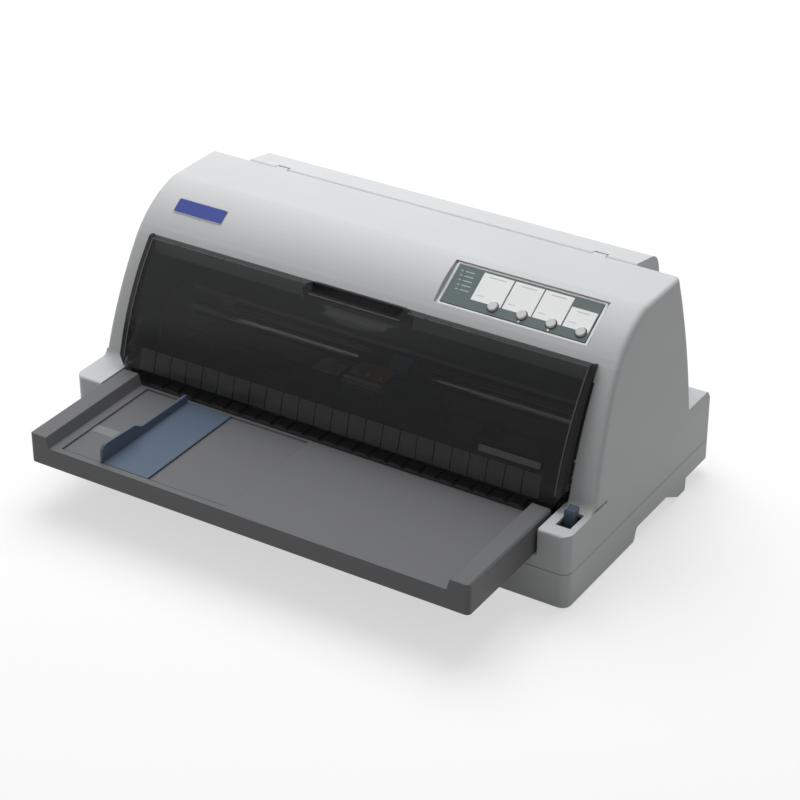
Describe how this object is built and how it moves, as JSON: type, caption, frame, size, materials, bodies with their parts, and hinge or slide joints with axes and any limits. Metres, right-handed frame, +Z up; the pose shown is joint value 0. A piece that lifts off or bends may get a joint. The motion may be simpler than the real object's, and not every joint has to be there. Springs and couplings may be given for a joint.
{
  "type": "dot matrix printer",
  "caption": "Flatbed dot matrix printer: hinged smoked front cover over the print head, open paper tray with edge guide, panel with push buttons, hinged rear cover over pin-feed tractors.",
  "frame": {"origin": "middle of the bounding box at the height of the feet's underside", "axes": "+Z up, -Y out of the front over the paper tray, +X to the right as seen from the front"},
  "size_m": [0.48, 0.37, 0.205],
  "materials": {
    "case_plastic": "fine leather grain",
    "tray_plastic": "fine grain",
    "smoke_plastic": "smoked, see-through",
    "blue_plastic": "satin",
    "panel_plastic": "satin",
    "button_plastic": "satin",
    "black_plastic": "satin",
    "gear_plastic": "satin",
    "sheet_steel": "zinc plated",
    "shaft_steel": "ground",
    "head_aluminium": "cast",
    "rubber": "matte",
    "ribbon_fabric": "inked",
    "cable_film": "film",
    "circuit_board": "lacquered",
    "lamp_plastic": "clear"
  },
  "bodies": {
    "case": {"lower_case": "case_plastic", "upper_housing": "case_plastic", "front_tray": "tray_plastic", "panel_plate": "panel_plastic", "panel_board": "circuit_board", "indicator_lights": "lamp_plastic", "left_side_frame": "sheet_steel", "right_side_frame": "sheet_steel", "base_plate": "sheet_steel", "carriage_rail": "sheet_steel", "guide_shaft": "shaft_steel", "platen": "black_plastic", "front_paper_guide": "black_plastic", "rear_paper_guide": "black_plastic", "carriage_motor": "black_plastic", "timing_belt": "rubber", "feed_motor": "black_plastic", "shaft_bushes": "black_plastic", "tractor_guide_shaft": "shaft_steel", "main_board": "circuit_board", "power_board": "circuit_board", "mains_inlet": "black_plastic", "interface_ports": "sheet_steel", "rubber_feet": "rubber", "case_screws": "sheet_steel"},
    "front_cover": {"front_cover": "smoke_plastic"},
    "rear_cover": {"rear_cover": "case_plastic"},
    "edge_guide": {"edge_guide": "blue_plastic"},
    "release_lever": {"release_lever": "blue_plastic"},
    "power_switch": {"power_switch": "black_plastic"},
    "pause_button": {"pause_button": "button_plastic"},
    "load_button": {"load_button": "button_plastic"},
    "feed_button": {"feed_button": "button_plastic"},
    "font_button": {"font_button": "button_plastic"},
    "carriage": {"carriage": "black_plastic", "print_head": "head_aluminium", "head_cable": "cable_film", "ribbon_cartridge": "black_plastic", "ribbon": "ribbon_fabric"},
    "drive_pulley": {"drive_pulley": "gear_plastic"},
    "idler_pulley": {"idler_pulley": "gear_plastic"},
    "feed_pinion": {"feed_pinion": "sheet_steel"},
    "idler_gear": {"idler_gear": "gear_plastic"},
    "transfer_gear_1": {"transfer_gear_1": "gear_plastic"},
    "transfer_gear_2": {"transfer_gear_2": "gear_plastic"},
    "transfer_gear_3": {"transfer_gear_3": "gear_plastic"},
    "front_feed_roller": {"front_feed_roller": "rubber"},
    "rear_feed_roller": {"rear_feed_roller": "rubber"},
    "front_pinch_rollers": {"front_pinch_rollers": "rubber"},
    "rear_pinch_rollers": {"rear_pinch_rollers": "rubber"},
    "tractor_drive": {"tractor_drive_shaft": "shaft_steel"},
    "left_tractor": {"left_tractor": "tray_plastic", "left_pin_belt": "black_plastic"},
    "right_tractor": {"right_tractor": "tray_plastic", "right_pin_belt": "black_plastic"},
    "left_tractor_flap": {"left_tractor_flap": "tray_plastic"},
    "right_tractor_flap": {"right_tractor_flap": "tray_plastic"},
    "left_sprocket": {"left_sprocket": "gear_plastic"},
    "right_sprocket": {"right_sprocket": "gear_plastic"}
  },
  "joints": [
    {"name": "front_cover_hinge", "type": "hinge", "parent": "case", "child": "front_cover", "pos_m": [0, -0.04475, 0.084], "axis": [1, 0, 0], "range_deg": [0, 95]},
    {"name": "rear_cover_hinge", "type": "hinge", "parent": "case", "child": "rear_cover", "pos_m": [0, 0.1105, 0.2025], "axis": [1, 0, 0], "range_deg": [0, 75]},
    {"name": "edge_guide_slide", "type": "slide", "parent": "case", "child": "edge_guide", "axis": [1, 0, 0], "range_m": [-0.038, 0.07]},
    {"name": "release_lever_pivot", "type": "hinge", "parent": "case", "child": "release_lever", "pos_m": [0.2275, -0.062, 0.038], "axis": [1, 0, 0], "range_deg": [0, 20]},
    {"name": "power_switch_rock", "type": "hinge", "parent": "case", "child": "power_switch", "pos_m": [-0.2345, -0.017, 0.05], "axis": [0, 0, -1], "range_deg": [0, 14]},
    {"name": "pause_press", "type": "slide", "parent": "case", "child": "pause_button", "axis": [0, 0.5206, -0.8538], "range_m": [0, 0.001], "stiffness_N_per_m": 300, "springref_m": -0.001},
    {"name": "load_press", "type": "slide", "parent": "case", "child": "load_button", "axis": [0, 0.5206, -0.8538], "range_m": [0, 0.001], "stiffness_N_per_m": 300, "springref_m": -0.001},
    {"name": "feed_press", "type": "slide", "parent": "case", "child": "feed_button", "axis": [0, 0.5206, -0.8538], "range_m": [0, 0.001], "stiffness_N_per_m": 300, "springref_m": -0.001},
    {"name": "font_press", "type": "slide", "parent": "case", "child": "font_button", "axis": [0, 0.5206, -0.8538], "range_m": [0, 0.001], "stiffness_N_per_m": 300, "springref_m": -0.001},
    {"name": "carriage_slide", "type": "slide", "parent": "case", "child": "carriage", "axis": [1, 0, 0], "range_m": [-0.137, 0.137]},
    {"name": "drive_pulley_spin", "type": "hinge", "parent": "case", "child": "drive_pulley", "pos_m": [-0.178, 0.056, 0.098], "axis": [0, 1, 0], "range_deg": [-1000, 1000]},
    {"name": "idler_pulley_spin", "type": "hinge", "parent": "case", "child": "idler_pulley", "pos_m": [0.178, 0.056, 0.098], "axis": [0, 1, 0], "range_deg": [-1000, 1000]},
    {"name": "front_feed_spin", "type": "hinge", "parent": "case", "child": "front_feed_roller", "pos_m": [0, -0.024, 0.054], "axis": [1, 0, 0], "continuous": true},
    {"name": "rear_feed_spin", "type": "hinge", "parent": "case", "child": "rear_feed_roller", "pos_m": [0, 0.028, 0.054], "axis": [1, 0, 0], "continuous": true},
    {"name": "idler_gear_spin", "type": "hinge", "parent": "case", "child": "idler_gear", "pos_m": [0.2088, 0.002, 0.03057], "axis": [1, 0, 0], "continuous": true},
    {"name": "feed_pinion_spin", "type": "hinge", "parent": "case", "child": "feed_pinion", "pos_m": [0.2088, -0.02452, 0.02551], "axis": [1, 0, 0], "continuous": true},
    {"name": "transfer_gear_1_spin", "type": "hinge", "parent": "case", "child": "transfer_gear_1", "pos_m": [0.2088, 0.057, 0.054], "axis": [1, 0, 0], "continuous": true},
    {"name": "transfer_gear_2_spin", "type": "hinge", "parent": "case", "child": "transfer_gear_2", "pos_m": [0.2088, 0.0825, 0.06556], "axis": [1, 0, 0], "continuous": true},
    {"name": "transfer_gear_3_spin", "type": "hinge", "parent": "case", "child": "transfer_gear_3", "pos_m": [0.2088, 0.108, 0.054], "axis": [1, 0, 0], "continuous": true},
    {"name": "front_pinch_spin", "type": "hinge", "parent": "case", "child": "front_pinch_rollers", "pos_m": [0, -0.024, 0.0683], "axis": [1, 0, 0], "continuous": true},
    {"name": "rear_pinch_spin", "type": "hinge", "parent": "case", "child": "rear_pinch_rollers", "pos_m": [0, 0.028, 0.0683], "axis": [1, 0, 0], "continuous": true},
    {"name": "tractor_drive_spin", "type": "hinge", "parent": "case", "child": "tractor_drive", "pos_m": [0, 0.134, 0.054], "axis": [1, 0, 0], "continuous": true},
    {"name": "left_tractor_slide", "type": "slide", "parent": "case", "child": "left_tractor", "axis": [1, 0, 0], "range_m": [-0.09, 0.06]},
    {"name": "right_tractor_slide", "type": "slide", "parent": "case", "child": "right_tractor", "axis": [1, 0, 0], "range_m": [-0.12, 0.02]},
    {"name": "left_flap_hinge", "type": "hinge", "parent": "left_tractor", "child": "left_tractor_flap", "pos_m": [-0.0937, 0.145, 0.067], "axis": [0, -1, 0], "range_deg": [0, 110]},
    {"name": "right_flap_hinge", "type": "hinge", "parent": "right_tractor", "child": "right_tractor_flap", "pos_m": [0.1709, 0.145, 0.067], "axis": [0, 1, 0], "range_deg": [0, 110]},
    {"name": "left_sprocket_spin", "type": "hinge", "parent": "left_tractor", "child": "left_sprocket", "pos_m": [-0.0847, 0.134, 0.054], "axis": [1, 0, 0], "continuous": true},
    {"name": "right_sprocket_spin", "type": "hinge", "parent": "right_tractor", "child": "right_sprocket", "pos_m": [0.1619, 0.134, 0.054], "axis": [1, 0, 0], "continuous": true}
  ],
  "couplings": [
    {"joint": "drive_pulley_spin", "follows": "carriage_slide", "rad_per_m": -125},
    {"joint": "idler_pulley_spin", "follows": "carriage_slide", "rad_per_m": -125},
    {"joint": "rear_feed_spin", "follows": "front_feed_spin", "ratio": 1},
    {"joint": "idler_gear_spin", "follows": "front_feed_spin", "ratio": -0.75},
    {"joint": "feed_pinion_spin", "follows": "front_feed_spin", "ratio": 2.1429},
    {"joint": "transfer_gear_1_spin", "follows": "front_feed_spin", "ratio": -1.0714},
    {"joint": "transfer_gear_2_spin", "follows": "front_feed_spin", "ratio": 1.0714},
    {"joint": "transfer_gear_3_spin", "follows": "front_feed_spin", "ratio": -1.0714},
    {"joint": "front_pinch_spin", "follows": "front_feed_spin", "ratio": -1.8},
    {"joint": "rear_pinch_spin", "follows": "front_feed_spin", "ratio": -1.8},
    {"joint": "tractor_drive_spin", "follows": "front_feed_spin", "ratio": 1.25},
    {"joint": "left_sprocket_spin", "follows": "front_feed_spin", "ratio": 1.25},
    {"joint": "right_sprocket_spin", "follows": "front_feed_spin", "ratio": 1.25}
  ]
}
